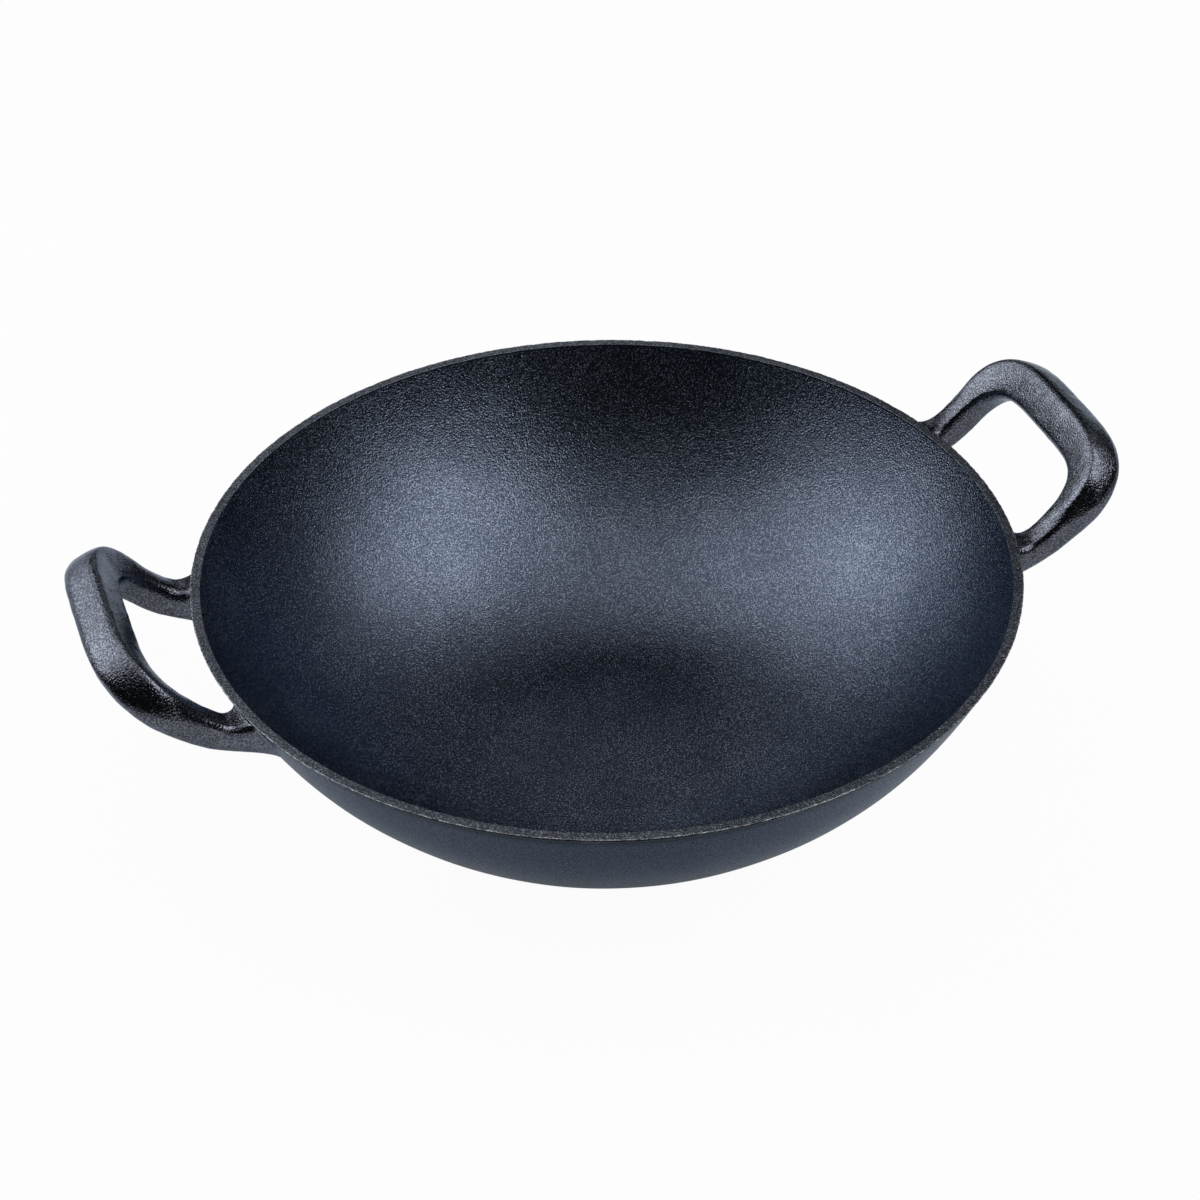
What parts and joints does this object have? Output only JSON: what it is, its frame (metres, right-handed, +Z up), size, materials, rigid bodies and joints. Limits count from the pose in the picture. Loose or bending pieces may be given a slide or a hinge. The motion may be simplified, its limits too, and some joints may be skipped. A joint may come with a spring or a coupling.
{
  "type": "wok",
  "caption": "Round cast iron wok with a flat bottom, a raised rim lip and upturned loop handles on opposite sides.",
  "frame": {"origin": "centre of the foot's underside, where the wok stands on the table", "axes": "+Z up out of the mouth, +X from the centre towards the right handle, Y across between the handles"},
  "size_m": [0.4524, 0.356, 0.1382],
  "materials": {
    "bowl_iron": "seasoned, satin, fine cast grain",
    "rim_iron": "seasoned, satin, smoother than the wall",
    "foot_iron": "seasoned, matt, fine cast grain",
    "handle_iron": "seasoned, satin, cast grain with a faint parting edge"
  },
  "bodies": {
    "root": {"wok_bowl": "bowl_iron", "rim_lip": "rim_iron", "base_foot": "foot_iron", "left_handle": "handle_iron", "right_handle": "handle_iron"}
  },
  "joints": []
}
